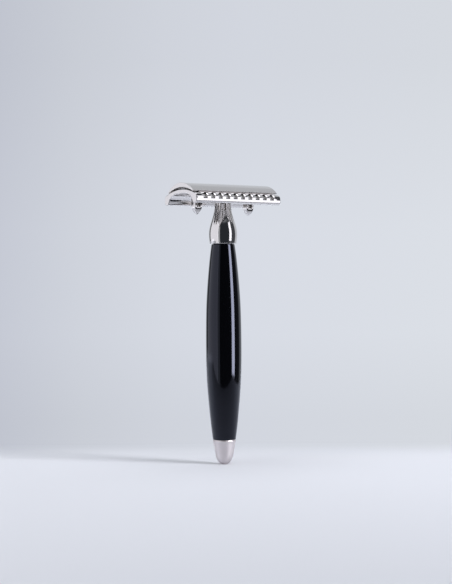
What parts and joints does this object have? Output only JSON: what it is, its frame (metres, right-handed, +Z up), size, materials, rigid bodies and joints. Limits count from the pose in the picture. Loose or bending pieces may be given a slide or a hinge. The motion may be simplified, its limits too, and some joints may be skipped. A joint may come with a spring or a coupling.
{
  "type": "double-edge safety razor",
  "caption": "Double-edge safety razor with an arched cap, a scalloped guard plate, a clamped blade, and a barrel-shaped black handle that unscrews from the head.",
  "frame": {"origin": "centre of the small flat under the handle's tip, on the handle's axis", "axes": "+Z up the handle's axis to the head; X along the head's length and the blade's edges; -Y and +Y towards the two guard bars"},
  "size_m": [0.0434, 0.026, 0.1218],
  "materials": {
    "polished_nickel": "mirror-polished nickel plate",
    "satin_nickel": "soft satin nickel plate",
    "black_resin": "turned and polished black resin",
    "blade_steel": "ground stainless strip",
    "stud_steel": "machined steel",
    "brass": "drawn tube",
    "washer_fibre": "matt vulcanised fibre"
  },
  "bodies": {
    "handle": {"tip": "satin_nickel", "tip_washer": "washer_fibre", "grip": "black_resin", "grip_liner": "brass", "tie_rod": "stud_steel", "neck_washer": "washer_fibre", "neck": "polished_nickel"},
    "base": {"base_plate": "polished_nickel"},
    "cap": {"cap": "polished_nickel", "center_stud": "stud_steel", "guide_stud_left": "stud_steel", "guide_stud_right": "stud_steel"},
    "blade": {"blade": "blade_steel"}
  },
  "joints": [
    {"name": "head_turn", "type": "hinge", "parent": "handle", "child": "base", "pos_m": [0, 0, 0.117], "axis": [0, 0, 1], "range_deg": [0, 2880]},
    {"name": "cap_rise", "type": "slide", "parent": "base", "child": "cap", "axis": [0, 0, 1], "range_m": [0, 0.0065]},
    {"name": "blade_rise", "type": "slide", "parent": "base", "child": "blade", "axis": [0, 0, 1], "range_m": [0, 0.0033]}
  ],
  "couplings": [
    {"joint": "cap_rise", "follows": "head_turn", "m_per_rad": 0.00012732},
    {"joint": "blade_rise", "follows": "head_turn", "m_per_rad": 0.000063662}
  ]
}
